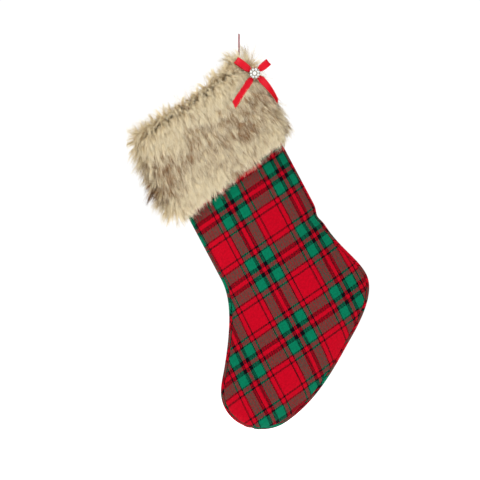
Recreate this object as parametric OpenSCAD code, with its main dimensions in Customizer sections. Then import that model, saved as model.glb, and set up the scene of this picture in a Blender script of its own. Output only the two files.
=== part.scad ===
// Hanging stocking: a tartan stocking with a fur cuff and a jewelled bow.
// It hangs from a cord loop at the heel-side corner of its mouth, so its leg leans.
// Frame, mm: origin where a hook bears, at the inside top of the loop. +Z is up, +Y goes into the wall.
// The stocking is drawn in its own plane, x across the leg and q down the leg from the mouth's heel corner.

/* [Leg and foot] */
// Width of the leg, laid flat
leg_w = 176; // [140:1:215]
// Length of the straight leg, from the mouth to the ankle
leg_len = 266; // [215:1:325]
// Half the thickness of the filled-out leg
puff = 30; // [24:1:38]
// How far the heel stands out behind the leg
heel_out = 20; // [10:1:30]
// How far the toe reaches in front of the leg
toe_reach = 86; // [68:1:106]
// Lowest point of the sole below the straight leg
sole_drop = 235; // [205:1:285]

/* [Mouth and cuff] */
// How much lower the mouth is on its toe side
mouth_drop = 22; // [0:1:35]
// Half the thickness at the mouth
mouth_puff = 26; // [20:1:30]
// Depth of the cuff on its heel side
cuff_heel_len = 108; // [85:1:120]
// Depth of the cuff on its toe side
cuff_toe_len = 118; // [95:1:130]
// Depth of the pressed pile over the front and the back of the leg
pile = 12; // [8:1:14]
// Depth of the pile past the side seams
side_pile = 18; // [12:1:22]
// Depth of the facing inside the mouth
facing_len = 22; // [12:1:32]

/* [Layers] */
// Thickness of the tartan cloth
cloth_th = 1.2; // [0.8:0.1:1.6]
// Thickness of the wadding
wadding_th = 3.0; // [1.5:0.1:4.5]
// Thickness of the lining
lining_th = 1.0; // [0.8:0.1:1.5]
// Thickness of the facing
facing_th = 1.0; // [0.8:0.1:1.5]
// Air between two layers
layer_gap = 0.4; // [0.2:0.05:0.5]
// How much wider than thick a layer's seam allowance is at the edge
seam_spread = 1.6; // [1.2:0.1:2.0]

/* [Hanging loop] */
// Lean of the leg as it hangs, in degrees
hang_tilt = 28; // [15:1:40]
// Diameter of the loop's cord
cord_d = 2.2; // [1.6:0.1:3]
// Radius of the ball knot in the cord's ends
knot_r = 3.2; // [2.6:0.1:4.5]
// Height of the ball knot above the mouth's corner
knot_lift = 8; // [7:0.5:12]
// Clearance between the knot and what bears on it
knot_gap = 0.3; // [0.2:0.05:0.5]

/* [Bow] */
// Width of the satin ribbon
ribbon_w = 10; // [8:0.5:13]
// Thickness of the satin ribbon
ribbon_th = 0.5; // [0.4:0.1:0.8]
// How far the bow's middle lies past the leg's side seam
bow_out = 12; // [4:1:16]
// How far the bow's middle lies below the mouth
bow_drop = 19; // [14:1:30]
// How far the bow stands in front of the filled mouth
bow_stand = 2; // [2:0.5:6]
// Length of the left loop
left_loop_len = 34; // [26:1:42]
// Length of the right loop
right_loop_len = 27; // [22:1:36]
// How far each ribbon loop gapes
loop_gape = 5; // [3:0.5:6]
// Radius of the gathered knot at the bow's middle
bow_knot_r = 5.2; // [4.5:0.1:6]
// Radius of the bundle of thread that the bow turns on
thread_r = 1.6; // [1:0.1:2]
// Clearance round the bundle of thread, and at each ribbon's root
turn_gap = 0.3; // [0.2:0.05:0.5]

/* [Brooch] */
// Radius of the ring on which the outer stones sit
stone_ring_r = 5.7; // [5:0.1:7]
// Radius of an outer stone
stone_r = 1.7; // [1.3:0.1:2]
// Radius of the centre stone
centre_stone_r = 2.7; // [2.2:0.1:3.2]
// Number of outer stones
stone_count = 8; // [6:1:9]

/* [Hidden] */
$fn = 32;

// The cord's route up from the knot, over the hook and down again: x, y, z of its middle
loop_route = [[0, -1.5, -38.5], [0, -1.7, -36], [0, -2.0, -32], [0, -2.5, -28], [0, -3.1, -24],
              [0, -3.8, -20], [0, -4.5, -16], [0, -5.1, -12], [0, -5.6, -8], [0, -5.6, -5], [0, -5.0, -2.4], [0, -3.6, -0.4],
              [0, -1.9, 0.8], [0, 0, 1.1], [0, 1.9, 0.8], [0, 3.6, -0.4], [0, 5.0, -2.4], [0, 5.6, -5],
              [0, 5.6, -8], [0, 5.1, -12], [0, 4.5, -16], [0, 3.8, -20], [0, 3.1, -24], [0, 2.5, -28],
              [0, 2.0, -32], [0, 1.7, -36], [0, 1.5, -38.5]];
cord_sides = 8;
knot_z = loop_route[0].z - knot_gap - knot_r;

// Outline points of the leg and foot as [x, q]
half_w = leg_w / 2;
ankle_front = [-half_w, leg_len];
instep = [-half_w - toe_reach + 29, leg_len + 118];
toe_front = [-half_w - toe_reach, leg_len + 174];
sole_low = [-half_w - 18, leg_len + sole_drop];
arch = [half_w - 42, leg_len + 167];
heel_tip = [half_w + heel_out, leg_len + 96];
ankle_back = [half_w, leg_len];
instep_curve = [ankle_front, ankle_front + [0, 36], instep + [33, -44], instep];
toe_top_curve = [instep, instep + [-12, 16], toe_front - [0, 25], toe_front];
heel_curve = [ankle_back, ankle_back + [2, 40], heel_tip + [1, -27], heel_tip];
heel_under_curve = [heel_tip, heel_tip + [-1, 23], arch + [39, -25], arch];
sole_curve = [arch, arch + [-41, 26], sole_low + [61, -5], sole_low];
toe_curve = [sole_low, sole_low + [-34, 2], toe_front + [0, 35], toe_front];

// Where each stretch of the outline ends, as a share of the way from the mouth to the toe
leg_share = 0.45;
front_shares = [leg_share, 0.70, 0.85];
back_shares = [leg_share, 0.56, 0.68, 0.87];
leg_stations = [0, 0.12, 0.24, 0.30, 0.36, 0.42];
foot_steps = 22;
stations = concat(leg_stations, [for (i = [0:foot_steps - 1]) leg_share + (1 - leg_share) * i / foot_steps]);
across_steps = 12;
slope_step = 0.002;
puff_start = 0.25;
puff_end = 0.45;
toe_taper_start = 0.72;
side_round = 0.75;
pile_round = 2.4;
tiny = 0.001;

// Insets of the layers' faces from the outer face of the tartan
wadding_at = cloth_th + layer_gap;
lining_at = wadding_at + wadding_th + layer_gap;
facing_at = lining_at + lining_th + layer_gap;
flange_gap = 0.2;
flange_th = 1.4;

// The cuff: clearance round the leg, height above the mouth, and how its pile rounds over and thins out
cuff_gap = 0.5;
cuff_rise = 2;
cuff_top_share = 0.12;
cuff_top_fullness = 0.55;
cuff_hem_from = 0.9;
cuff_hem_loss = 0.35;
cuff_levels = [0, 0.04, cuff_top_share, 0.5, cuff_hem_from, 1];

// The thread that holds the ball knot, and the thread that holds the bow
cup_wall = 0.9;
cup_rim_drop = 0.6;
stem_r = 1.1;
stem_sink = 0.6;
stitch_depth = 14;
stitch_end_gap = 0.4;

// Ribbon bow: angles of the four arms seen from the front, and the tails' routes from the bow's middle
left_loop_angle = 144;
right_loop_angle = 40;
ribbon_root_w = 5;
root_r = bow_knot_r + turn_gap;
gather_len = 9;
tail_cut = 0.7;
left_tail_route = [[-3.1, 0, -4.7], [-11, -3, -17], [-20, -8, -31], [-30.8, -13, -48]];
right_tail_route = [[4.2, 0, -3.8], [14, -1, -11], [27, 2, -26], [34.5, 6, -41]];
left_tail_across = [[-0.84, 0, 0.54], [-0.84, 0, 0.54]];
right_tail_across = [[0.67, 0, 0.74], [0.5, -0.8, 0.35]];
ribbon_steps = 16;
loop_root_angle = 12;
narrow_gape = 0.35;

// Brooch, measured forward from the bow's middle
knot_half = 2.2;
knot_edge_r = 1.2;
shank_r = 1.3;
shank_foot_r = 3;
shank_foot_th = 0.6;
plate_front = 6.2;
plate_th = 1;
bezel_h = 1.1;
bezel_wall = 0.35;
seat_gap = 0.05;
scallop = 0.9;

function mix(a, b, t) = a + (b - a) * t;
function clamp(x) = max(0, min(1, x));
function smooth(x) = clamp(x) * clamp(x) * (3 - 2 * clamp(x));
function unit(v) = v / norm(v);
function bezier(p, t) =
    pow(1 - t, 3) * p[0] + 3 * t * pow(1 - t, 2) * p[1] + 3 * t * t * (1 - t) * p[2] + pow(t, 3) * p[3];
function flat(rows) = [for (row = rows) each row];
function quad(a, b, c, d) = [[a, b, c], [a, c, d]];

// The mouth's line and the outline's two sides, from the mouth to the toe
function mouth_q(x) = mouth_drop * (0.5 - x / leg_w);
function front_edge(u) =
    u < front_shares[0] ? mix([-half_w, mouth_drop], ankle_front, u / front_shares[0]) :
    u < front_shares[1] ? bezier(instep_curve, (u - front_shares[0]) / (front_shares[1] - front_shares[0])) :
    u < front_shares[2] ? bezier(toe_top_curve, (u - front_shares[1]) / (front_shares[2] - front_shares[1])) :
    bezier(toe_curve, 1 - 0.5 * (u - front_shares[2]) / (1 - front_shares[2]));
function back_edge(u) =
    u < back_shares[0] ? mix([half_w, 0], ankle_back, u / back_shares[0]) :
    u < back_shares[1] ? bezier(heel_curve, (u - back_shares[0]) / (back_shares[1] - back_shares[0])) :
    u < back_shares[2] ? bezier(heel_under_curve, (u - back_shares[1]) / (back_shares[2] - back_shares[1])) :
    u < back_shares[3] ? bezier(sole_curve, (u - back_shares[2]) / (back_shares[3] - back_shares[2])) :
    bezier(toe_curve, 0.5 * (u - back_shares[3]) / (1 - back_shares[3]));
function front_slope(u) = unit(front_edge(min(1, u + slope_step)) - front_edge(max(0, u - slope_step)));
function back_slope(u) = unit(back_edge(min(1, u + slope_step)) - back_edge(max(0, u - slope_step)));
function front_inset(u, d) = front_edge(u) + d * [front_slope(u)[1], -front_slope(u)[0]];
function back_inset(u, d) = back_edge(u) + d * [-back_slope(u)[1], back_slope(u)[0]];

// Half thickness at a station, and how it falls away towards the side seams
function depth(u) =
    mix(mouth_puff, puff, smooth((u - puff_start) / (puff_end - puff_start)))
    * (u < toe_taper_start ? 1 : sqrt(max(0, 1 - pow((u - toe_taper_start) / (1 - toe_taper_start), 2))));
function side_fall(t) = pow(max(0, cos(90 * t)), side_round);
function pile_fall(t) = pow(max(0, 1 - pow(abs(t), pile_round)), 1 / pile_round);
function across_at(j) = -cos(180 * j / across_steps);

// One row of points across the front, for the layer face that lies d inside the tartan's outer face
function layer_row(u, d) = [for (j = [0:across_steps])
    let (t = across_at(j), e = d * seam_spread, p = mix(front_inset(u, e), back_inset(u, e), (t + 1) / 2))
    [p[0], -depth(u) * (1 - d / puff) * side_fall(t), -p[1]]];
function layer_rows(d) = [for (u = stations) layer_row(u, d)];
function layer_tip(d) = let (p = front_inset(1, d * seam_spread)) [p[0], 0, -p[1]];

// A closed shell between two faces, each a list of rows. Two tip points close a shell at the toe.
module half_shell(outer, inner, tips = []) {
    n = len(outer);
    m = len(outer[0]) - 1;
    tip = 2 * n * (m + 1);
    function o(i, j) = i * (m + 1) + j;
    function k(i, j) = (n + i) * (m + 1) + j;
    walls = [for (i = [0:n - 2], j = [0:m - 1]) each concat(
        quad(o(i, j), o(i, j + 1), o(i + 1, j + 1), o(i + 1, j)),
        quad(k(i, j + 1), k(i, j), k(i + 1, j), k(i + 1, j + 1)))];
    rims = [for (i = [0:n - 2]) each concat(
        quad(o(i, 0), o(i + 1, 0), k(i + 1, 0), k(i, 0)),
        quad(k(i, m), k(i + 1, m), o(i + 1, m), o(i, m)))];
    top = [for (j = [0:m - 1]) each quad(o(0, j), k(0, j), k(0, j + 1), o(0, j + 1))];
    bottom = [for (j = [0:m - 1]) each quad(o(n - 1, j + 1), k(n - 1, j + 1), k(n - 1, j), o(n - 1, j))];
    toe = concat(
        [for (j = [0:m - 1]) [o(n - 1, j), o(n - 1, j + 1), tip]],
        [for (j = [0:m - 1]) [k(n - 1, j + 1), k(n - 1, j), tip + 1]],
        quad(o(n - 1, 0), tip, tip + 1, k(n - 1, 0)),
        quad(k(n - 1, m), tip + 1, tip, o(n - 1, m)));
    polyhedron(points = concat(flat(outer), flat(inner), tips),
               faces = concat(walls, rims, top, len(tips) > 0 ? toe : bottom));
}

// A solid through a list of sections, each a ring of points
module sweep(sections) {
    n = len(sections);
    m = len(sections[0]);
    sides = [for (i = [0:n - 2], j = [0:m - 1])
        each quad(i * m + j, (i + 1) * m + j, (i + 1) * m + (j + 1) % m, i * m + (j + 1) % m)];
    polyhedron(points = flat(sections),
               faces = concat(sides, [[for (j = [0:m - 1]) j]], [[for (j = [m - 1:-1:0]) (n - 1) * m + j]]));
}

function heading(path, i) = unit(path[min(i + 1, len(path) - 1)] - path[max(i - 1, 0)]);

// A flat ribbon along a path. across gives its width's direction, and cut slants its last end.
module ribbon(path, across, widths, cut = 0) {
    sweep([for (i = [0:len(path) - 1])
        let (t = heading(path, i),
             w = unit(across[i] - (across[i] * t) * t) * widths[i] / 2,
             n = unit(cross(t, w)) * ribbon_th / 2,
             s = t * (i == len(path) - 1 ? cut * widths[i] / 2 : 0))
        [path[i] - w - n + s, path[i] + w - n - s, path[i] + w + n - s, path[i] - w + n + s]]);
}

// Places what is drawn in the stocking's own plane: its mouth corner hangs below the ball knot
module hung() {
    translate([0, 0, knot_z]) rotate([0, -hang_tilt, 0]) translate([-half_w, 0, -knot_lift]) children();
}

// Places what is drawn upright about the bow's middle
module at_bow() {
    hung() translate([half_w + bow_out, -mouth_puff - bow_stand, -bow_drop])
        rotate([0, hang_tilt, 0]) children();
}

module toward_viewer() {
    rotate([90, 0, 0]) children();
}

module layer(from, th) {
    half_shell(layer_rows(from), layer_rows(from + th), [layer_tip(from), layer_tip(from + th)]);
}

module hanging_loop() {
    color("crimson")
        sweep([for (i = [0:len(loop_route) - 1])
            let (t = heading(loop_route, i), u = [1, 0, 0], v = cross(t, u))
            [for (j = [0:cord_sides - 1])
                loop_route[i] + cord_d / 2 * (cos(360 * j / cord_sides) * u + sin(360 * j / cord_sides) * v)]]);
}

module loop_knot() {
    color("crimson") translate([0, 0, knot_z]) sphere(knot_r);
}

// A cup of thread under the ball knot, with a stem sewn down through the facing
module loop_stitches() {
    cup_in = knot_r + knot_gap;
    cup_out = cup_in + cup_wall;
    color("firebrick") hung() translate([half_w, 0, knot_lift]) {
        rotate_extrude() difference() {
            intersection() {
                circle(cup_out);
                translate([0, -cup_out]) square([cup_out, cup_out - cup_rim_drop]);
            }
            circle(cup_in);
        }
        translate([0, 0, -knot_lift + flange_gap])
            cylinder(r = stem_r, h = knot_lift - flange_gap - cup_out + stem_sink);
    }
}

module front_panel() {
    color("firebrick") hung() layer(0, cloth_th);
}

module back_panel() {
    color("firebrick") hung() mirror([0, 1, 0]) layer(0, cloth_th);
}

module front_wadding() {
    color("white") hung() layer(wadding_at, wadding_th);
}

module back_wadding() {
    color("white") hung() mirror([0, 1, 0]) layer(wadding_at, wadding_th);
}

module front_lining() {
    color("darkred") hung() layer(lining_at, lining_th);
}

module back_lining() {
    color("darkred") hung() mirror([0, 1, 0]) layer(lining_at, lining_th);
}

// A band inside the mouth with a flange over the layers' raw edges
module mouth_facing() {
    function ring(d, rise) = [for (k = [0:2 * across_steps - 1])
        let (t = -cos(180 * k / across_steps), side = k < across_steps ? -1 : 1,
             y = side * mouth_puff * (1 - d / puff) * side_fall(t))
        [t * (half_w - d * seam_spread), y, rise - mouth_q(t * half_w)]];
    flange_top = flange_gap + flange_th;
    inside = facing_at + facing_th;
    rings = [ring(0, flange_gap), ring(0, flange_top), ring(inside, flange_top),
             ring(inside, -facing_len), ring(facing_at, -facing_len), ring(facing_at, flange_gap)];
    m = 2 * across_steps;
    color("maroon") hung()
        polyhedron(points = flat(rings), faces = [for (r = [0:5], k = [0:m - 1]) each quad(
            r * m + k, (r + 1) % 6 * m + k, (r + 1) % 6 * m + (k + 1) % m, r * m + (k + 1) % m)]);
}

// Half of the fur cuff: a sleeve of pile round the leg, rounded over at the top
module cuff_half() {
    function bottom_q(x) = mix(mouth_drop + cuff_toe_len, cuff_heel_len, x / leg_w + 0.5);
    function height(x, v) = -mix(mouth_q(x) - cuff_rise, bottom_q(x), v);
    function fullness(v) =
        v < cuff_top_share ? mix(cuff_top_fullness, 1, sin(90 * v / cuff_top_share)) :
        1 - cuff_hem_loss * pow(max(0, v - cuff_hem_from) / (1 - cuff_hem_from), 2);
    function outer_row(v) = [for (j = [0:across_steps])
        let (t = across_at(j), x = t * (half_w + side_pile * fullness(v)))
        [x, -(mouth_puff + pile * fullness(v)) * pile_fall(t), height(x, v)]];
    function inner_row(v) = [for (j = [0:across_steps])
        let (t = across_at(j), x = t * (half_w + cuff_gap))
        [x, -(mouth_puff + cuff_gap) * side_fall(t), height(x, v)]];
    half_shell([for (v = cuff_levels) outer_row(v)], [for (v = cuff_levels) inner_row(v)]);
}

module cuff_front() {
    color("wheat") hung() cuff_half();
}

module cuff_back() {
    color("wheat") hung() mirror([0, 1, 0]) cuff_half();
}

// The thread that holds the bow: it runs from inside the cuff into the bow knot
module bow_stitches() {
    color("firebrick") at_bow() translate([0, knot_half + stitch_depth, 0]) toward_viewer()
        cylinder(r = thread_r, h = stitch_depth + 2 * knot_half - stitch_end_gap);
}

module bow_knot() {
    bore_r = thread_r + turn_gap;
    wall = bow_knot_r - bore_r;
    flat_half = knot_half - knot_edge_r;
    color("crimson") at_bow() toward_viewer() rotate_extrude() difference() {
        union() {
            translate([bore_r, -knot_half]) square([wall - knot_edge_r, 2 * knot_half]);
            translate([bore_r, -flat_half]) square([wall, 2 * flat_half]);
            for (z = [-1, 1]) translate([bow_knot_r - knot_edge_r, z * flat_half]) circle(knot_edge_r);
        }
        translate([0, -knot_half]) square([bore_r, 2 * knot_half]);
    }
}

function gathered(r) = mix(ribbon_root_w, ribbon_w, smooth((r - root_r) / gather_len));

// A ribbon loop that leaves the bow knot at an angle and gapes towards the viewer and the cuff
module bow_loop(angle, len) {
    arm = [cos(angle), 0, sin(angle)];
    function share(a) = (cos(loop_root_angle) - cos(a)) / (1 + cos(loop_root_angle));
    function reach(a) = root_r + ribbon_th / 2 + (len - root_r) * share(a);
    function gape(a) = loop_gape * sin(a) * mix(narrow_gape, 1, pow(sin(a / 2), 2));
    turns = [for (i = [0:2 * ribbon_steps])
        mix(loop_root_angle, 360 - loop_root_angle, i / (2 * ribbon_steps))];
    path = [for (a = turns) reach(a) * arm - [0, gape(a), 0]];
    color("crimson") at_bow()
        ribbon(path, [for (a = turns) [-arm.z, 0, arm.x]], [for (a = turns) gathered(reach(a))]);
}

module bow_loop_left() {
    bow_loop(left_loop_angle, left_loop_len);
}

module bow_loop_right() {
    bow_loop(right_loop_angle, right_loop_len);
}

module bow_tail(route, across, cut) {
    steps = [for (i = [0:ribbon_steps]) i / ribbon_steps];
    path = [for (s = steps) bezier(route, s)];
    color("crimson") at_bow()
        ribbon(path, [for (s = steps) mix(across[0], across[1], s)], [for (p = path) gathered(norm(p))], cut);
}

module bow_tail_left() {
    bow_tail(left_tail_route, left_tail_across, tail_cut);
}

module bow_tail_right() {
    bow_tail(right_tail_route, right_tail_across, tail_cut);
}

module brooch_shank() {
    post_len = plate_front - plate_th - knot_half;
    color("silver") at_bow() translate([0, -knot_half, 0]) toward_viewer() {
        cylinder(r = shank_foot_r, h = shank_foot_th);
        cylinder(r = shank_r, h = post_len);
    }
}

module at_each_stone() {
    for (i = [0:stone_count - 1]) rotate([0, 0, 360 * (i + 0.5) / stone_count])
        translate([stone_ring_r, 0, 0]) children();
}

module bezel(r) {
    difference() {
        cylinder(r = r + seat_gap + bezel_wall, h = bezel_h);
        cylinder(r = r + seat_gap, h = bezel_h + tiny);
    }
}

// A scalloped plate with a raised bezel round every stone
module brooch_setting() {
    color("silver") at_bow() translate([0, -plate_front, 0]) toward_viewer() {
        translate([0, 0, -plate_th]) {
            cylinder(r = stone_ring_r, h = plate_th);
            at_each_stone() cylinder(r = stone_r + scallop, h = plate_th);
        }
        bezel(centre_stone_r);
        at_each_stone() bezel(stone_r);
    }
}

// A round cut stone: a short girdle, a sloping crown and a flat table
module stone(r) {
    rotate_extrude()
        polygon(r * [[0, 0], [0.7, 0], [1, 0.35], [1, 0.55], [0.6, 0.95], [0, 0.95]]);
}

module brooch_stones() {
    color("aliceblue") at_bow() translate([0, -plate_front, 0]) toward_viewer() at_each_stone() stone(stone_r);
}

module brooch_centre_stone() {
    color("ivory") at_bow() translate([0, -plate_front, 0]) toward_viewer() stone(centre_stone_r);
}

hanging_loop();
loop_knot();
loop_stitches();
front_panel();
back_panel();
front_wadding();
back_wadding();
front_lining();
back_lining();
mouth_facing();
cuff_front();
cuff_back();
bow_stitches();
bow_knot();
bow_loop_left();
bow_loop_right();
bow_tail_left();
bow_tail_right();
brooch_shank();
brooch_setting();
brooch_stones();
brooch_centre_stone();
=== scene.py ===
"""Hanging stocking: a tartan stocking with a fur cuff and a jewelled satin bow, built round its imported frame.

Lengths in the maker's own plane are millimetres: x across the leg, y into the wall, z up the leg.
hung() turns them into the frame's metres.
"""

import math

import bmesh
import bpy
import numpy as np
from mathutils import Matrix, Vector
from mathutils.bvhtree import BVHTree
from mathutils.kdtree import KDTree


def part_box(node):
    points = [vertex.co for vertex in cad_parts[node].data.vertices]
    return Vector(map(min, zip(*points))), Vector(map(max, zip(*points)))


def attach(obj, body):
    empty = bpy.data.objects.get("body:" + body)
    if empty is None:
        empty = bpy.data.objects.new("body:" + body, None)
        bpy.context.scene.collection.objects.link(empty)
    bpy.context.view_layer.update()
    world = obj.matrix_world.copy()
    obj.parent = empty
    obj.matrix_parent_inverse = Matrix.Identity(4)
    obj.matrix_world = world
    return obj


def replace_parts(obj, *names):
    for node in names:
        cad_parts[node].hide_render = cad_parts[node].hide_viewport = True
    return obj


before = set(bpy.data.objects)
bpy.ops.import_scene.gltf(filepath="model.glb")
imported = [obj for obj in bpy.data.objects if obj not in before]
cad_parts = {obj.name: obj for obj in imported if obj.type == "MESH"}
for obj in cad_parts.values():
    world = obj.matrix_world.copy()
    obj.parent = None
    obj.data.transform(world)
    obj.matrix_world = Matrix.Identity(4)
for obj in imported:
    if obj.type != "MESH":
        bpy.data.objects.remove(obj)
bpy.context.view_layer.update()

MM = 0.001
SEED = 2412


def middle(node):
    low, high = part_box(node)
    return np.array((low + high) / 2)


# ---------------------------------------------------------------- camera, hanging cord

CAMERA_DISTANCE = 3.0
FRAME_SIDE = 0.72
FRAME_CENTRE = (0.0015, -0.3075)


def make_camera():
    data = bpy.data.cameras.new("camera")
    data.sensor_width = 36
    data.lens = data.sensor_width * CAMERA_DISTANCE / FRAME_SIDE
    data.clip_end = 20
    camera = bpy.data.objects.new("camera", data)
    camera.location = (FRAME_CENTRE[0], -CAMERA_DISTANCE, FRAME_CENTRE[1])
    camera.rotation_euler = (math.radians(90), 0, 0)
    bpy.context.scene.collection.objects.link(camera)
    bpy.context.scene.camera = camera


make_camera()

CORD_D = 2.2
# The cord's route up from the knot, over the hook and down again: y and z of its middle
CORD_RISE = [(-1.5, -38.5), (-1.7, -36), (-2.0, -32), (-2.5, -28), (-3.1, -24), (-3.8, -20), (-4.5, -16),
             (-5.1, -12), (-5.6, -8), (-5.6, -5), (-5.0, -2.4), (-3.6, -0.4), (-1.9, 0.8)]
CORD_ROUTE = CORD_RISE + [(0, 1.1)] + [(-y, z) for y, z in reversed(CORD_RISE)]


def tube_mesh(name, route, radius, closed=False):
    """A round cord along a route. Both are in metres."""
    curve = bpy.data.curves.new(name, "CURVE")
    curve.dimensions = "3D"
    curve.bevel_depth = radius
    curve.bevel_resolution = 4
    curve.use_fill_caps = not closed
    spline = curve.splines.new("POLY")
    spline.points.add(len(route) - 1)
    for point, place in zip(spline.points, route):
        point.co = (*place, 1)
    spline.use_smooth = True
    spline.use_cyclic_u = closed
    drawn = bpy.data.objects.new(name, curve)
    mesh = bpy.data.meshes.new_from_object(drawn)
    bpy.data.objects.remove(drawn)
    return mesh


def place_piece(name, mesh, body):
    mesh.name = name
    piece = bpy.data.objects.new(name, mesh)
    bpy.context.scene.collection.objects.link(piece)
    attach(piece, body)
    return piece


def make_hanging_loop():
    route = [(0, y * MM, z * MM) for y, z in CORD_ROUTE]
    piece = place_piece("hanging_cord", tube_mesh("hanging_cord", route, CORD_D / 2 * MM), "hanging_loop")
    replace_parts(piece, "hanging_loop")
    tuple(route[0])
    return piece


hanging_cord = make_hanging_loop()


# ---------------------------------------------------------------- materials

def rgb(red, green, blue):
    """A colour given as 0 to 255 on a screen, as Blender's linear colour."""
    values = np.array([red, green, blue]) / 255
    linear = np.where(values <= 0.04045, values / 12.92, ((values + 0.055) / 1.055) ** 2.4)
    return (*[float(v) for v in linear], 1.0)


class Finish:
    """A material under construction: its shader with plain values, and short ways to add nodes."""

    def __init__(self, name, **values):
        self.material = bpy.data.materials.new(name)
        self.material.use_nodes = True
        self.tree = self.material.node_tree
        self.shader = self.tree.nodes["Principled BSDF"]
        for socket, value in values.items():
            self.shader.inputs[socket.replace("_", " ")].default_value = value

    def node(self, kind, inputs=None, **settings):
        made = self.tree.nodes.new(kind)
        for name, value in settings.items():
            setattr(made, name, value)
        for key, value in (inputs or {}).items():
            self.put(made.inputs[key], value)
        return made

    def put(self, socket, value):
        if isinstance(value, bpy.types.NodeSocket):
            self.tree.links.new(value, socket)
        elif isinstance(value, bpy.types.Node):
            self.tree.links.new(value.outputs[0], socket)
        else:
            socket.default_value = value

    def math(self, operation, first, second=0.5, third=0.5):
        return self.node("ShaderNodeMath", {0: first, 1: second, 2: third}, operation=operation)

    def plus(self, first, second):
        return self.math("ADD", first, second)

    def times(self, first, second):
        return self.math("MULTIPLY", first, second)

    def over(self, first, second):
        return self.math("DIVIDE", first, second)

    def sine(self, value):
        return self.math("SINE", value)

    def parts(self, at):
        return self.node("ShaderNodeSeparateXYZ", {0: at}).outputs

    def mix(self, share, first, second, blend="MIX"):
        made = self.node("ShaderNodeMix", {0: share, 6: first, 7: second}, data_type="RGBA", blend_type=blend)
        return made.outputs[2]

    def ramp(self, value, stops, constant=False):
        made = self.node("ShaderNodeValToRGB", {0: value})
        made.color_ramp.interpolation = "CONSTANT" if constant else "LINEAR"
        elements = made.color_ramp.elements
        while len(elements) < len(stops):
            elements.new(1.0)
        for element, (at, colour) in zip(elements, stops):
            element.position = at
            element.color = colour
        return made.outputs[0]

    def noise(self, at, scale, detail=2.0, roughness=0.5):
        return self.node("ShaderNodeTexNoise",
                         {"Vector": at, "Scale": scale, "Detail": detail, "Roughness": roughness}).outputs[0]

    def own_place(self):
        return self.node("ShaderNodeTexCoord").outputs["Object"]

    def map(self, name):
        return self.node("ShaderNodeUVMap", uv_map=name).outputs[0]

    def attribute(self, name):
        return self.node("ShaderNodeAttribute", attribute_name=name).outputs["Fac"]

    def scaled(self, at, scale):
        return self.node("ShaderNodeMapping", {"Vector": at, "Scale": scale}).outputs[0]

    def colour(self, value):
        self.put(self.shader.inputs["Base Color"], value)

    def bump(self, height, distance, strength=1.0):
        made = self.node("ShaderNodeBump", {"Height": height, "Distance": distance, "Strength": strength})
        self.put(self.shader.inputs["Normal"], made)


CRIMSON = rgb(184, 0, 27)
BOTTLE_GREEN = rgb(0, 112, 80)
BLACK_YARN = rgb(5, 6, 13)

# The tartan's half repeat, from the middle of the wide red to the middle of the narrow red: width and colour
HALF_SETT = [(14.6, CRIMSON), (2.5, BLACK_YARN), (5.3, CRIMSON), (2.2, BLACK_YARN), (13.2, BOTTLE_GREEN),
             (5.8, BLACK_YARN), (2.6, CRIMSON)]
HALF_REPEAT = sum(width for width, _ in HALF_SETT)
WEFT_STRETCH = 1.13
WARP_MIDDLE = 22.5
WEFT_MIDDLE = 228.0
YARN = 0.8
STRIPE_FRAY = 0.8


def tartan_finish():
    tartan = Finish("tartan_twill", Roughness=0.9, Sheen_Weight=0.02, Sheen_Roughness=0.5, Specular_IOR_Level=0.05)
    cloth = tartan.map("cloth")
    across, along = tartan.parts(cloth)[:2]
    starts = np.cumsum([0] + [width for width, _ in HALF_SETT]) / HALF_REPEAT
    stops = [(start, colour) for start, (_, colour) in zip(starts, HALF_SETT)]
    fray = tartan.math("MULTIPLY_ADD", tartan.noise(cloth, 900.0, 1.0), 2 * STRIPE_FRAY * MM, -STRIPE_FRAY * MM)

    def stripes(place, centre, half):
        moved = tartan.plus(tartan.math("SUBTRACT", place, centre * MM), fray)
        folded = tartan.math("PINGPONG", moved, half * MM)
        return tartan.ramp(tartan.over(folded, half * MM), stops, constant=True)

    warp = stripes(across, WARP_MIDDLE, HALF_REPEAT)
    weft = stripes(along, WEFT_MIDDLE, HALF_REPEAT * WEFT_STRETCH)
    ends, picks = tartan.over(across, YARN * MM), tartan.over(along, YARN * MM)
    step = tartan.plus(tartan.math("FLOOR", ends), tartan.math("FLOOR", picks))
    twill = tartan.over(tartan.math("FLOORED_MODULO", step, 4.0), 4.0)
    ragged = tartan.math("MULTIPLY_ADD", tartan.noise(cloth, 620.0, 0.0), 0.9, -0.45)
    warp_up = tartan.math("LESS_THAN", tartan.plus(twill, ragged), 0.4)
    woven = tartan.mix(warp_up, weft, warp)
    mottle = tartan.ramp(tartan.noise(cloth, 260.0, 3.0, 0.7), [(0.3, rgb(218, 218, 218)), (0.7, rgb(255, 255, 255))])
    # Where yarns of unlike colour cross, the colour is darkened, most where red meets green: painted shade between the
    # yarns.
    apart = tartan.node("ShaderNodeSeparateColor", {0: tartan.mix(1.0, warp, weft, "DIFFERENCE")})
    red_on_green, unlike = [tartan.math("GREATER_THAN", tartan.math(pick, *apart.outputs[:2]), 0.05)
                            for pick in ("MINIMUM", "MAXIMUM")]
    crossing_shade = tartan.mix(red_on_green, tartan.mix(unlike, (1, 1, 1, 1), rgb(226, 226, 226)), rgb(200, 172, 206))
    tartan.colour(tartan.mix(1.0, tartan.mix(1.0, woven, mottle, "MULTIPLY"), crossing_shade, "MULTIPLY"))
    warp_round, weft_round = [tartan.sine(tartan.times(tartan.math("FRACT", yarns), math.pi))
                              for yarns in (ends, picks)]
    lift = tartan.plus(tartan.times(warp_round, warp_up),
                       tartan.times(weft_round, tartan.math("SUBTRACT", 1.0, warp_up)))
    fuzz = tartan.times(tartan.noise(cloth, 1400.0, 2.0), 0.8)
    tartan.bump(tartan.plus(lift, fuzz), 0.00012, 0.7)
    return tartan.material


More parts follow.
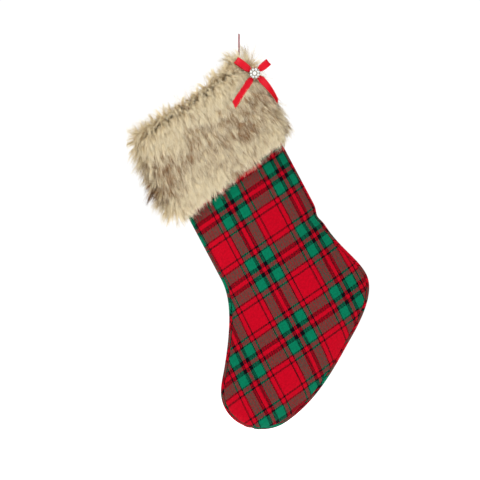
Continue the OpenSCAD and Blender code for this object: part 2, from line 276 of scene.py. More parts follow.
def satin_finish(name, base, shadow):
    satin = Finish(name, Roughness=0.36, Anisotropic=0.4, Sheen_Weight=0.0, Specular_IOR_Level=0.2)
    at = satin.map("ribbon")
    along, across = satin.parts(at)[:2]
    # Both edges of the ribbon are a raised woven edge and paler in colour: partly the selvedge's own threads, partly a
    # painted edge highlight.
    selvedge_and_highlight = satin.math("GREATER_THAN", satin.math("ABSOLUTE", across), 0.88)
    threads = satin.sine(satin.times(along, 2 * math.pi / 0.00035))
    streak = satin.noise(satin.scaled(at, (45.0, 3.0, 1.0)), 1.0, 2.0, 0.5)
    tone = satin.ramp(streak, [(0.25, shadow), (0.5, base)])
    satin.colour(satin.mix(satin.times(selvedge_and_highlight, 0.35), tone, rgb(226, 40, 58)))
    satin.bump(satin.plus(satin.times(threads, 0.25), satin.times(selvedge_and_highlight, 1.5)), 0.00008, 0.6)
    return satin.material


def cord_finish():
    cord = Finish("satin_cord", Roughness=0.38, Sheen_Weight=0.15, Specular_IOR_Level=0.45)
    x, y, z = cord.parts(cord.own_place())
    rise = cord.times(z, 2 * math.pi / 0.0042)
    ply = cord.sine(cord.plus(cord.times(cord.math("ARCTAN2", x, y), 2.0), rise))
    fine = cord.noise(cord.own_place(), 2600.0, 2.0)
    # Darker where the twist's bump is low, in the grooves between the plies: painted shade.
    cord.colour(cord.ramp(ply, [(0.0, rgb(120, 0, 16)), (0.55, rgb(150, 2, 22))]))
    cord.bump(cord.plus(ply, fine), 0.00018, 0.8)
    return cord.material


def fur_finish():
    fur = Finish("long_pile", Roughness=0.6, Sheen_Weight=0.1, Sheen_Roughness=0.4, Specular_IOR_Level=0.25)
    along = fur.attribute("along")
    # Both ramps darken toward the root: painted shade deep in the pile. The brown one's dark tips are the hairs' own
    # colour.
    cream = fur.ramp(along, [(0.0, rgb(176, 146, 106)), (0.26, rgb(238, 212, 166)), (0.58, rgb(255, 241, 204)),
                             (1.0, rgb(255, 246, 220))])
    brown = fur.ramp(along, [(0.0, rgb(120, 92, 64)), (0.3, rgb(196, 158, 108)), (0.65, rgb(172, 126, 78)),
                             (1.0, rgb(92, 56, 36))])
    shade = fur.ramp(fur.attribute("shade"), [(0.0, rgb(226, 222, 214)), (1.0, rgb(255, 255, 255))])
    fur.colour(fur.mix(1.0, fur.mix(fur.attribute("tone"), cream, brown), shade, "MULTIPLY"))
    return fur.material


def cloth_finish(name, dark, light, scale, depth):
    cloth = Finish(name, Roughness=0.8, Sheen_Weight=0.1, Specular_IOR_Level=0.25)
    at = cloth.own_place()
    across, down = [cloth.node("ShaderNodeTexWave", {"Vector": at, "Scale": scale, "Distortion": 0.6},
                               bands_direction=way).outputs[1] for way in ("X", "Z")]
    cloth.colour(cloth.ramp(cloth.noise(at, scale / 6, 3.0), [(0.3, dark), (0.7, light)]))
    cloth.bump(cloth.times(across, down), depth, 0.6)
    return cloth.material


def thread_finish():
    thread = Finish("red_thread", Roughness=0.55, Sheen_Weight=0.2)
    x, _, z = thread.parts(thread.own_place())
    strands = thread.sine(thread.times(thread.plus(x, z), 2 * math.pi / 0.0004))
    # Darker where the strands' bump is low, in the grooves between them: painted shade.
    thread.colour(thread.ramp(strands, [(0.0, rgb(120, 6, 20)), (0.6, rgb(176, 14, 34))]))
    thread.bump(strands, 0.0001, 0.8)
    return thread.material


def mottled_finish(name, noise, stops, grain=None, bump=None, worn=None, **values):
    """Mottled by one noise, with a bump from a finer grain or the same one, and worn in places to other gloss."""
    made = Finish(name, **values)
    at = made.own_place()
    mottle = made.noise(at, *noise)
    made.colour(made.ramp(mottle, stops))
    if bump:
        made.bump(made.noise(at, *grain) if grain else mottle, *bump)
    if worn:
        made.put(made.shader.inputs["Roughness"], made.math("MULTIPLY_ADD", made.noise(at, *worn), 0.18, 0.1))
    return made.material


TARTAN = tartan_finish()
SATIN = satin_finish("crimson_satin", rgb(200, 0, 28), rgb(172, 0, 22))
CORD_SATIN = cord_finish()
LONG_PILE = fur_finish()
FUR_BACKING = mottled_finish("fur_backing", (300.0, 4.0, 0.7), [(0.35, rgb(182, 154, 114)), (0.7, rgb(226, 202, 160))],
                             (900.0, 3.0), (0.0012, 0.8), Roughness=0.9, Specular_IOR_Level=0.1)
LINING = cloth_finish("lining_cotton", rgb(120, 10, 22), rgb(148, 16, 30), 900.0, 0.0001)
FACING = cloth_finish("facing_tape", rgb(104, 8, 20), rgb(134, 14, 28), 650.0, 0.0002)
FLEECE = mottled_finish("white_fleece", (420.0, 5.0, 0.75), [(0.3, rgb(214, 210, 202)), (0.7, rgb(248, 246, 240))],
                        bump=(0.0012, 0.9), Roughness=0.95, Sheen_Weight=0.3, Specular_IOR_Level=0.1)
THREAD = thread_finish()
SILVER = mottled_finish("bright_silver", (700.0, 3.0), [(0.3, rgb(176, 170, 158)), (0.7, rgb(226, 222, 214))],
                        worn=(1500.0, 2.0), Metallic=1.0)
CRYSTAL = mottled_finish("cut_crystal", (350.0, 1.0), [(0.4, rgb(240, 244, 250)), (0.6, rgb(255, 255, 255))],
                         Roughness=0.03, IOR=1.9, Transmission_Weight=0.2, Specular_IOR_Level=0.9)
PEARL = mottled_finish("pale_pearl", (260.0, 2.0),
                       [(0.3, rgb(214, 220, 232)), (0.5, rgb(246, 240, 230)), (0.7, rgb(236, 226, 214))],
                       Roughness=0.14, Coat_Weight=0.6, Coat_Roughness=0.05, Specular_IOR_Level=0.6)

hanging_cord.data.materials.append(CORD_SATIN)

# ---------------------------------------------------------------- the stocking's own plane

HANG_TILT = math.radians(28)
KNOT_LIFT = 8
LEG_W = 176
LEG_LEN = 266
HALF_W = LEG_W / 2
PUFF = 30
MOUTH_PUFF = 26
MOUTH_DROP = 22
CUFF_HEEL_LEN = 108
CUFF_TOE_LEN = 118
SEAM_SPREAD = 1.6

HINGE = middle("loop_knot")
TURN = np.array([[math.cos(HANG_TILT), 0, -math.sin(HANG_TILT)], [0, 1, 0],
                 [math.sin(HANG_TILT), 0, math.cos(HANG_TILT)]])
DOWN_LEG = TURN @ np.array([0.0, 0.0, -1.0])


def hung(points):
    """From the stocking's own plane, in millimetres, to the frame, in metres."""
    return HINGE + (np.asarray(points) - np.array([HALF_W, 0, KNOT_LIFT])) @ TURN.T * MM


# Outline points of the leg and foot: x, and the way down from the mouth
ANKLE_FRONT = (-88, 266)
INSTEP = (-145, 384)
TOE_FRONT = (-174, 440)
SOLE_LOW = (-106, 501)
ARCH = (46, 433)
HEEL_TIP = (108, 362)
ANKLE_BACK = (88, 266)
INSTEP_CURVE = (ANKLE_FRONT, (-88, 302), (-112, 340), INSTEP)
TOE_TOP_CURVE = (INSTEP, (-157, 400), (-174, 415), TOE_FRONT)
HEEL_CURVE = (ANKLE_BACK, (90, 306), (109, 335), HEEL_TIP)
HEEL_UNDER_CURVE = (HEEL_TIP, (107, 385), (85, 408), ARCH)
SOLE_CURVE = (ARCH, (5, 459), (-45, 496), SOLE_LOW)
TOE_CURVE = (SOLE_LOW, (-140, 503), (-174, 475), TOE_FRONT)
LEG_SHARE = 0.45
FRONT_SHARES = (LEG_SHARE, 0.70, 0.85)
BACK_SHARES = (LEG_SHARE, 0.56, 0.68, 0.87)


def mix(first, second, share):
    return first + (second - first) * share


def smooth(value):
    held = np.clip(value, 0, 1)
    return held * held * (3 - 2 * held)


def bezier(points, share):
    a, b, c, d = [np.array(p, float) for p in points]
    s = np.asarray(share)[..., None]
    return (1 - s) ** 3 * a + 3 * s * (1 - s) ** 2 * b + 3 * s * s * (1 - s) * c + s ** 3 * d


def outline_side(u, top, ankle, shares, curves, toe_side):
    """One side of the outline. u runs from 0 at the mouth to 1 at the tip of the toe."""
    u = np.asarray(u, float)
    found = mix(np.array(top, float), np.array(ankle, float), (u / shares[0])[..., None])
    for start, end, curve in zip(shares, shares[1:], curves):
        found = np.where((u >= start)[..., None], bezier(curve, np.clip((u - start) / (end - start), 0, 1)), found)
    last = (u - shares[-1]) / (1 - shares[-1])
    toe = bezier(TOE_CURVE, np.clip(1 - 0.5 * last if toe_side == "front" else 0.5 * last, 0, 1))
    return np.where((u >= shares[-1])[..., None], toe, found)


def front_edge(u):
    return outline_side(u, (-HALF_W, MOUTH_DROP), ANKLE_FRONT, FRONT_SHARES, (INSTEP_CURVE, TOE_TOP_CURVE), "front")


def back_edge(u):
    return outline_side(u, (HALF_W, 0), ANKLE_BACK, BACK_SHARES,
                        (HEEL_CURVE, HEEL_UNDER_CURVE, SOLE_CURVE), "back")


NOSE_FROM, NOSE_LEN = 0.72, 0.28
FILLS_FROM, FILLS_OVER = 0.25, 0.20
SIDE_ROUND = 0.75


def depth(u):
    """Half the filled stocking's depth: least at the mouth, and closing round the toe."""
    nose = np.sqrt(np.clip(1 - (np.clip(u - NOSE_FROM, 0, None) / NOSE_LEN) ** 2, 0, None))
    return mix(MOUTH_PUFF, PUFF, smooth((u - FILLS_FROM) / FILLS_OVER)) * nose


def side_fall(t):
    return np.clip(np.cos(np.pi / 2 * np.clip(t, -1, 1)), 0, None) ** SIDE_ROUND


def inset_edges(u, inset):
    step = 0.002
    ends = []
    for edge, way in ((front_edge, 1), (back_edge, -1)):
        slope = edge(np.clip(u + step, 0, 1)) - edge(np.clip(u - step, 0, 1))
        slope = slope / np.linalg.norm(slope, axis=-1, keepdims=True)
        ends.append(edge(u) + inset * way * np.stack([slope[..., 1], -slope[..., 0]], -1))
    return ends


def body_points(angle, u, inset=0.0):
    """The filled stocking's surface. angle goes round a section: 0 to pi in front from the toe side, then behind."""
    front, back = inset_edges(u, inset * SEAM_SPREAD)
    t = -np.cos(angle)
    across = mix(front, back, ((t + 1) / 2)[..., None])
    y = -np.sign(np.sin(angle)) * depth(u) * (1 - inset / PUFF) * side_fall(t)
    return np.stack([across[..., 0], y, -across[..., 1]], -1)


def mouth_z(x):
    return -MOUTH_DROP * (0.5 - x / LEG_W)


# ---------------------------------------------------------------- cloth work

def new_piece(name, mesh, material, body):
    mesh.materials.append(material)
    return place_piece(name, mesh, body)


def finished(work, name):
    """The mesh that a bmesh has become."""
    mesh = bpy.data.meshes.new(name)
    work.to_mesh(mesh)
    work.free()
    return mesh


def smooth_faces(work):
    for face in work.faces:
        face.smooth = True


def grid_mesh(columns, rows, place, closed=False):
    """A sheet of quads. place(s, r) gives the points, in metres, for s across and r down, both 0 to 1."""
    work = bmesh.new()
    bmesh.ops.create_grid(work, x_segments=columns, y_segments=rows, size=0.5)
    where = np.array([v.co[:] for v in work.verts])
    s, r = where[:, 0] + 0.5, 0.5 - where[:, 1]
    points = place(s, r)
    across = work.verts.layers.float.new("across")
    down = work.verts.layers.float.new("down")
    for vertex, point, s_at, r_at in zip(work.verts, points, s, r):
        vertex.co = point
        vertex[across] = s_at
        vertex[down] = r_at
    if closed:
        bmesh.ops.remove_doubles(work, verts=work.verts, dist=1e-7)
    smooth_faces(work)
    return finished(work, "sheet")


def read(rows, field, width, kind=np.float32):
    found = np.empty(len(rows) * width, kind)
    rows.foreach_get(field, found)
    return found.reshape(-1, width)


def coordinates(mesh):
    return read(mesh.vertices, "co", 3).astype(float)


def put_coordinates(mesh, points):
    mesh.vertices.foreach_set("co", np.asarray(points, np.float32).ravel())
    mesh.update()


def vertex_normals(mesh):
    return read(mesh.vertex_normals, "vector", 3).astype(float)


def turn_outwards(mesh, side):
    """A sheet in front has its outer face toward the viewer, and one behind toward the wall."""
    if (vertex_normals(mesh)[:, 1].sum() > 0) == (side == "front"):
        mesh.flip_normals()


def shares_of(mesh):
    """How far across and down its sheet each vertex lies."""
    return [read(mesh.attributes[name].data, "value", 1)[:, 0].astype(float) for name in ("across", "down")]


def add_map(mesh, name, places):
    """A UV map from one pair of numbers per vertex."""
    layer = mesh.uv_layers.new(name=name)
    corners = read(mesh.loops, "vertex_index", 1, np.int32)[:, 0]
    layer.uv.foreach_set("vector", np.asarray(places, np.float32)[corners].ravel())


def add_value(mesh, name, values):
    attribute = mesh.attributes.new(name, "FLOAT", "POINT")
    attribute.data.foreach_set("value", np.asarray(values, np.float32))


def thicken(piece, thickness, offset=-1):
    solid = piece.modifiers.new("thickness", "SOLIDIFY")
    solid.thickness = thickness * MM
    solid.offset = offset


def rolled(rows):
    """How far each point lies along its row, from the row's middle, when the row is pulled straight."""
    steps = np.linalg.norm(np.diff(rows, axis=1), axis=-1)
    reach = np.concatenate([np.zeros((len(rows), 1)), np.cumsum(steps, 1)], 1)
    return reach - reach[:, [reach.shape[1] // 2]]


# ---------------------------------------------------------------- tartan panels

SEAM_INSET = 4.4
SEAM_DIP = 1.3
SEAM_GROOVE = 2.0
PANEL_COLUMNS, PANEL_ROWS = 72, 170
WEFT_SKEW = 0.105
TOE_LEN = 330


def seam_limits(stations):
    """How far round, of the way to the edge, each station's front goes before the seam, on either side."""
    rim_u = np.linspace(0, 1, 300)
    rim = np.concatenate([front_edge(rim_u), back_edge(rim_u)])
    tries = np.linspace(0, 1, 240)
    limits = []
    front, back = front_edge(stations), back_edge(stations)
    for way in (-1, 1):
        places = mix(front[:, None], back[:, None], ((way * tries + 1) / 2)[None, :, None])
        outside = np.linalg.norm(places[:, :, None] - rim[None, None], axis=-1).min(-1) < SEAM_INSET
        first = np.where(outside.any(1), outside.argmax(1), len(tries) - 1)
        limits.append(tries[first])
    return limits


STATIONS = np.linspace(0, 1, PANEL_ROWS + 1)
SEAM_LEFT, SEAM_RIGHT = seam_limits(STATIONS)
FRONT_END = STATIONS[np.argmax((SEAM_LEFT < 0.02) | (SEAM_RIGHT < 0.02))]


def panel_angles(side, s, u):
    """The angle round the section for a share s of the way across a panel."""
    left = np.arccos(np.interp(u, STATIONS, SEAM_LEFT))
    right = np.pi - np.arccos(np.interp(u, STATIONS, SEAM_RIGHT))
    if side == "front":
        return mix(left, right, s)
    return mix(right, left + 2 * np.pi, s)


def flat_places(points, s, u, columns, rows):
    """Where each point of a panel lay on the flat cloth, by rolling every row out from its middle."""
    order = np.lexsort((s.round(6), u.round(6)))
    grid = points[order].reshape(rows + 1, columns + 1, 3)
    stations = u[order].reshape(rows + 1, columns + 1)[:, 0]
    along = back_edge(stations) - front_edge(stations)
    length = np.linalg.norm(along, axis=-1, keepdims=True)
    along = np.where(length > 1, along / np.maximum(length, 1), np.array([[0.8, -0.6]]))
    centre = np.stack([grid[:, columns // 2, 0], -grid[:, columns // 2, 2]], -1)
    chord = grid[:, -1][:, [0, 2]] - grid[:, 0][:, [0, 2]]
    runs_on = np.sign((chord * along * (1, -1)).sum())
    spread = centre[:, None] + along[:, None] * (runs_on * rolled(grid))[:, :, None]
    places = np.empty((len(points), 2))
    places[order] = spread.reshape(-1, 2)
    return places


NOTCH_AT = 250.0
NOTCH_DEPTH = 4.0
NOTCH_REACH = 10.0
FOLD_DEPTH = 1.6
FOLD_REACH = 45


def notch(points):
    """The seam is drawn in above the heel, and short folds run from there into the leg."""
    down = -points[:, 2]
    from_edge = HALF_W - points[:, 0]
    pull = NOTCH_DEPTH * np.exp(-((down - NOTCH_AT) / NOTCH_REACH) ** 2) * np.exp(-np.clip(from_edge, 0, None) / 22)
    moved = points.copy()
    moved[:, 0] -= pull
    way = np.arctan2(down - NOTCH_AT, from_edge + 10)
    distance = np.hypot(from_edge, down - NOTCH_AT)
    folds = np.cos(way * 6.0 + 0.6) * np.exp(-(distance / FOLD_REACH) ** 2) * smooth((from_edge - 3) / 14)
    moved[:, 1] -= FOLD_DEPTH * folds * (points[:, 1] < 0)
    return moved


CLOTH_FRAMES = 20
CLOTH_GROWS = 0.012
CLOTH_MOVES = 7.0


def settle_cloth(piece, held):
    """Lets the cloth fill out with its held points still, then keeps the result in the mesh."""
    mesh = piece.data
    start = coordinates(mesh)
    group = piece.vertex_groups.new(name="held")
    for index in np.flatnonzero(held > 0.01):
        group.add([int(index)], float(held[index]), "REPLACE")
    cloth = piece.modifiers.new("cloth", "CLOTH")
    settings = cloth.settings
    settings.quality = 6
    settings.mass = 0.3
    settings.tension_stiffness = settings.compression_stiffness = 12
    settings.shear_stiffness = 4
    settings.bending_stiffness = 0.6
    settings.use_pressure = True
    settings.uniform_pressure_force = 3.0
    settings.shrink_min = -CLOTH_GROWS
    settings.vertex_group_mass = "held"
    settings.effector_weights.gravity = 0
    cloth.collision_settings.use_collision = False
    cloth.point_cache.frame_end = CLOTH_FRAMES
    scene = bpy.context.scene
    for number in range(1, CLOTH_FRAMES + 1):
        scene.frame_set(number)
    filled = piece.evaluated_get(bpy.context.evaluated_depsgraph_get()).to_mesh()
    moved = coordinates(filled) - start
    piece.modifiers.remove(cloth)
    piece.vertex_groups.remove(group)
    scene.frame_set(1)
    length = np.linalg.norm(moved, axis=1, keepdims=True)
    moved *= np.minimum(1, CLOTH_MOVES * MM / np.maximum(length, 1e-9))
    put_coordinates(mesh, start + moved)


def wobble(at, seed, waves):
    """A smooth seeded ripple between about -1 and 1."""
    draws = np.random.default_rng(seed)
    total = np.zeros(len(at))
    for _ in range(7):
        total += np.sin(at * waves * draws.uniform(0.6, 1.7) + draws.uniform(0, 2 * np.pi))
    return total / 7


def seam_distance(side, s, u):
    """Rough distance, in millimetres along the cloth, from a panel's point to its seam."""
    width = np.linalg.norm(back_edge(u) - front_edge(u), axis=-1) * (1.0 if side == "front" else 1.12)
    to_end = (FRONT_END - u) * TOE_LEN if side == "front" else np.inf
    return np.minimum(np.minimum(s, 1 - s) * np.pi / 2 * width * 0.9, to_end)


PUCKER = 0.55
PUCKER_PITCH = 0.75
PUCKER_REACH = 9
PANEL_TH = 1.2


def make_tartan_panel(side):
    end = FRONT_END if side == "front" else 1.0

    def filled(s, r):
        return body_points(panel_angles(side, s, r * end), r * end)

    mesh = grid_mesh(PANEL_COLUMNS, PANEL_ROWS, lambda s, r: hung(notch(filled(s, r))))
    s, r = shares_of(mesh)
    u = r * end
    flat = flat_places(filled(s, r), s, u, PANEL_COLUMNS, PANEL_ROWS)
    flat[:, 1] += WEFT_SKEW * flat[:, 0]
    add_map(mesh, "cloth", flat * MM)
    turn_outwards(mesh, side)
    piece = new_piece(f"tartan_{side}", mesh, TARTAN, "stocking")
    seam_gap = seam_distance(side, s, u)
    settle_cloth(piece, np.maximum(np.exp(-(seam_gap / 2.5) ** 2), np.exp(-(u / 0.02) ** 2)))
    groove = SEAM_DIP * np.exp(-(seam_gap / SEAM_GROOVE) ** 2)
    ripple = wobble(u * LEG_LEN / LEG_SHARE, SEED + (s.mean() > 0), PUCKER_PITCH)
    lift = (PUCKER * ripple * np.exp(-(seam_gap / PUCKER_REACH) ** 2) - groove) * smooth((u - 0.15) / 0.05)
    put_coordinates(mesh, coordinates(mesh) + vertex_normals(mesh) * (lift * MM)[:, None])
    thicken(piece, PANEL_TH)
    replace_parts(piece, f"{side}_panel")


for side in ("front", "back"):
    make_tartan_panel(side)

# ---------------------------------------------------------------- wadding, lining, mouth facing

LAYER_COLUMNS, LAYER_ROWS = 36, 90
WADDING_AT, WADDING_TH = 2.4, 2.4
LINING_AT, LINING_TH = 5.0, 1.0


def make_layer(name, side, inset, thickness, material):
    def filled(s, r):
        return body_points(s * np.pi + (0 if side == "front" else np.pi), r, inset)

    mesh = grid_mesh(LAYER_COLUMNS, LAYER_ROWS, lambda s, r: hung(notch(filled(s, r))))
    turn_outwards(mesh, side)
    s, r = shares_of(mesh)
    piece = new_piece(f"{name}_{side}", mesh, material, "stocking")
    thicken(piece, thickness)
    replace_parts(piece, f"{side}_{name}")
    flat_places(filled(s, r), s, r, LAYER_COLUMNS, LAYER_ROWS)


for side in ("front", "back"):
    make_layer("wadding", side, WADDING_AT, WADDING_TH, FLEECE)
    make_layer("lining", side, LINING_AT, LINING_TH, LINING)

FACING_AT = 6.4
FACING_TH = 1.0
FACING_LEN = 22
FACING_COLUMNS, FACING_ROWS = 176, 26
FACING_GATHERS = 58
GATHER_DEPTH = 0.25
FLANGE_TOP = 1.5
FLANGE_SHARE = 0.22
FACING_STITCHES = 66
STITCH_DOWN = 3.2


def facing_points(s, inset, rise):
    angle = 2 * np.pi * s
    x = -np.cos(angle) * (HALF_W - inset * SEAM_SPREAD)
    y = -np.sign(np.sin(angle)) * MOUTH_PUFF * (1 - inset / PUFF) * side_fall(np.cos(angle))
    return np.stack([x, y, mouth_z(-np.cos(angle) * HALF_W) + rise], -1)


def make_facing():
    def place(s, r):
        inset = mix(0.4, FACING_AT, smooth(r / FLANGE_SHARE))
        rise = FLANGE_TOP - 0.9 * smooth((r - FLANGE_SHARE * 0.8) / 0.06)
        rise = rise - (FACING_LEN - FLANGE_TOP) * np.clip((r - FLANGE_SHARE) / (1 - FLANGE_SHARE), 0, None)
        gather = GATHER_DEPTH * np.sin(s * 2 * np.pi * FACING_GATHERS) * smooth((r - FLANGE_SHARE) / 0.2)
        return hung(facing_points(s, inset + gather, rise))

    mesh = grid_mesh(FACING_COLUMNS, FACING_ROWS, place, closed=True)
    points = coordinates(mesh)
    if ((points - points.mean(0)) * vertex_normals(mesh))[:, 1].sum() > 0:
        mesh.flip_normals()
    piece = new_piece("mouth_facing_band", mesh, FACING, "stocking")
    thicken(piece, FACING_TH)
    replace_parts(piece, "mouth_facing")


def add_copies(work, build, places=(Matrix(),)):
    one = bmesh.new()
    build(one)
    for place in places:
        mesh = bpy.data.meshes.new("copy")
        one.to_mesh(mesh)
        mesh.transform(place)
        work.from_mesh(mesh)
        bpy.data.meshes.remove(mesh)
    one.free()


def bead(radius, size=(1, 1, 1), at=(0, 0, 0), finer=2):
    def build(one):
        bmesh.ops.create_icosphere(one, subdivisions=finer, radius=radius)
        bmesh.ops.scale(one, verts=one.verts, vec=size)
        bmesh.ops.translate(one, verts=one.verts, vec=at)
        smooth_faces(one)

    return build


def make_facing_stitches():
    """Small rounded stitches that lie along the band."""
    s = (np.arange(FACING_STITCHES) + 0.5) / FACING_STITCHES
    places = hung(facing_points(s, FACING_AT + 0.15, -STITCH_DOWN))
    ways = hung(facing_points(s + 0.002, FACING_AT, -STITCH_DOWN)) - places
    moves = [Matrix.Translation(place) @ Vector(way).to_track_quat("X", "Z").to_matrix().to_4x4()
             for place, way in zip(places, ways)]
    work = bmesh.new()
    add_copies(work, bead(MM, (1.7, 0.4, 0.4), finer=1), moves)
    new_piece("facing_stitches", finished(work, "facing_stitches"), THREAD, "stocking")


make_facing()
make_facing_stitches()

# ---------------------------------------------------------------- ribbon bow

BOW = middle("bow_knot")
RIBBON_W = 10
RIBBON_ROOT_W = 5
RIBBON_TH = 0.4
RIBBON_COLUMNS = 14
PLEAT_DEPTH = 0.7
ROOT_R = 5.5
GATHER_LEN = 9
LOOP_ROOT_ANGLE = 12
NARROW_GAPE = 0.35
LOOP_GAPE = 5
TAIL_CUT = 0.7
LEFT_TAIL_ROUTE = [(-3.1, 0, -4.7), (-11, -3, -17), (-20, -8, -31), (-30.8, -13, -48)]
RIGHT_TAIL_ROUTE = [(4.2, 0, -3.8), (14, -1, -11), (27, 2, -26), (34.5, 6, -41)]
LEFT_TAIL_ACROSS = [(-0.84, 0, 0.54), (-0.84, 0, 0.54)]
RIGHT_TAIL_ACROSS = [(0.67, 0, 0.74), (0.25, -0.95, 0.2)]


def units(vectors):
    return vectors / np.maximum(np.linalg.norm(vectors, axis=-1, keepdims=True), 1e-9)


def gathered(distance):
    return mix(RIBBON_ROOT_W, RIBBON_W, smooth((distance - ROOT_R) / GATHER_LEN))


def ribbon_piece(node, path, across, widths, slant, cup):
    """A satin ribbon on a path: three arrays with one row per step, in millimetres from the bow's middle."""
    lengths = np.concatenate([[0], np.cumsum(np.linalg.norm(np.diff(path, axis=0), axis=1))])
    headings = units(np.gradient(path, axis=0))
    across = units(across - (across * headings).sum(1, keepdims=True) * headings)
    faces = np.cross(headings, across)

    def place(s, r):
        side = 2 * s - 1
        slide = 1 - side * slant * RIBBON_W / 2 / lengths[-1] * smooth((r - 0.55) / 0.45)
        at = r * lengths[-1] * slide
        past = np.clip(at - lengths[-1], 0, None)[:, None]

        def found(rows):
            return np.stack([np.interp(at, lengths, rows[:, k]) for k in range(rows.shape[1])], -1)

        width = np.interp(at, lengths, widths)
        root = np.exp(-(np.minimum(at, lengths[-1] - at if slant == 0 else at)) / 5.0)
        lift = cup * (side ** 2 - 0.4) * (1 - root) + PLEAT_DEPTH * np.sin(side * 5.5 + 0.8) * root
        return (BOW + (found(path) + found(across) * (side * width / 2)[:, None]
                       + found(faces) * lift[:, None] + headings[-1] * past) * MM)

    mesh = grid_mesh(RIBBON_COLUMNS, len(path) - 1, place)
    s, r = shares_of(mesh)
    add_map(mesh, "ribbon", np.stack([r * lengths[-1] * MM, 2 * s - 1], -1))
    piece = new_piece(f"ribbon_{node}", mesh, SATIN, node)
    thicken(piece, RIBBON_TH, offset=0)
    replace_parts(piece, node)
    return piece


def make_bow_loop(name, angle, length, lean):
    arm = np.array([math.cos(angle), 0, math.sin(angle)])
    beside = np.array([-arm[2], 0, arm[0]])
    turns = np.radians(np.linspace(LOOP_ROOT_ANGLE, 360 - LOOP_ROOT_ANGLE, 73))
    first = math.cos(math.radians(LOOP_ROOT_ANGLE))
    reach = ROOT_R + RIBBON_TH / 2 + (length - ROOT_R) * (first - np.cos(turns)) / (1 + first)
    gape = LOOP_GAPE * np.sin(turns) * mix(NARROW_GAPE, 1, np.sin(turns / 2) ** 2)
    opened = lean * np.sin(turns) * np.sin(turns / 2) ** 2
    path = reach[:, None] * arm - gape[:, None] * np.array([0, 1, 0]) - opened[:, None] * beside
    return ribbon_piece(name, path, np.tile(beside, (len(path), 1)), gathered(reach), slant=0, cup=0.35)


def make_bow_tail(name, route, across, lift):
    steps = np.linspace(0, 1, 49)
    path = bezier(route, steps)
    path[:, 1] -= lift * np.sin(steps * np.pi * 1.6)
    sides = mix(np.array(across[0]), np.array(across[1]), steps[:, None])
    return ribbon_piece(name, path, sides, gathered(np.linalg.norm(path, axis=1)), slant=TAIL_CUT, cup=0.5)


bow_ribbons = [make_bow_loop("bow_loop_left", math.radians(144), 34, 0.9),
               make_bow_loop("bow_loop_right", math.radians(40), 27, 1.3),
               make_bow_tail("bow_tail_left", LEFT_TAIL_ROUTE, LEFT_TAIL_ACROSS, 0.8),
               make_bow_tail("bow_tail_right", RIGHT_TAIL_ROUTE, RIGHT_TAIL_ACROSS, 0.5)]

KNOT_SIZE = (5.3, 2.7, 5.6)
KNOT_TURN_R = 5
# The knot's map stays inside the ribbon's edge band, so it has neither raised edge nor painted edge highlight.
SELVEDGE_HIGHLIGHT_CLEAR = 0.86


def make_bow_knot():
    """The middle of the bow: a turn of ribbon drawn tight, so that it stands in pleats."""
    work = bmesh.new()
    bmesh.ops.create_uvsphere(work, u_segments=64, v_segments=32, radius=1.0)
    smooth_faces(work)
    for vertex in work.verts:
        x, y, z = vertex.co
        pleat = 1 + 0.045 * math.sin(9 * math.atan2(y, x) + 2.5 * z) * (1 - z * z)
        waist = 1 - 0.12 * math.exp(-(x * x + y * y) * 3)
        vertex.co = BOW + np.array([x * KNOT_SIZE[0] * pleat, y * KNOT_SIZE[1] * pleat, z * KNOT_SIZE[2] * waist]) * MM
    mesh = finished(work, "bow_knot_turn")
    x, y, z = (coordinates(mesh) - BOW).T
    along = np.arctan2(y, x) * KNOT_TURN_R * MM
    add_map(mesh, "ribbon", np.stack([along, np.clip(z / (KNOT_SIZE[2] * MM), -1, 1) * SELVEDGE_HIGHLIGHT_CLEAR], -1))
    piece = new_piece("bow_knot_turn", mesh, SATIN, "bow")
    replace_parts(piece, "bow_knot")
    return piece


bow_knot_turn = make_bow_knot()

# ---------------------------------------------------------------- brooch

STONE_COUNT = 8
STONE_RING_R = 5.7
STONE_R = 1.7
FACETS = 10
CENTRE_STONE_R = 2.7
PLATE_FRONT = 6.2
PLATE_TH = 1.0
SCALLOP = 0.9
CUP_H = 1.1


def brooch_mesh(work, name):
    """Turns what is drawn flat, in millimetres, to face the viewer, forward of the bow's middle."""
    for vertex in work.verts:
        x, y, z = vertex.co
        vertex.co = BOW + np.array([x, -z - PLATE_FRONT, y]) * MM
    return finished(work, name)


def ring(radius, half_step=0.0, count=STONE_COUNT):
    turns = [2 * math.pi * (i + 0.5 + half_step) / count for i in range(count)]
    return [Matrix.Rotation(turn, 4, "Z") @ Matrix.Translation((radius, 0, 0)) for turn in turns]


def rod(low_radius, high_radius, start, end, sides=24, capped=True):
    def build(one):
        bmesh.ops.create_cone(one, cap_ends=capped, segments=sides, radius1=low_radius, radius2=high_radius,
                              depth=end - start)
        bmesh.ops.translate(one, verts=one.verts, vec=(0, 0, (start + end) / 2))

    return build


def stone_cup(radius, prongs):
    """A thin wall round a stone, and prongs bent over its edge."""
    def build(one):
        add_copies(one, rod(radius + 0.15, radius + 0.32, 0, CUP_H, 28, False))
        add_copies(one, rod(radius - 0.05, radius + 0.32, CUP_H - 0.3, CUP_H, 28, False))
        add_copies(one, bead(0.34, (1.5, 0.9, 1.0), (0, 0, CUP_H + 0.12)), ring(radius - 0.05, 0, prongs))

    return build


def leaf(one):
    """A pointed leaf with a ridge, lying along x."""
    bmesh.ops.create_cone(one, cap_ends=True, segments=4, radius1=1.0, radius2=0.25, depth=0.7)
    bmesh.ops.scale(one, verts=one.verts, vec=(1.9, 0.85, 1.0))
    bmesh.ops.translate(one, verts=one.verts, vec=(0, 0, -0.2))


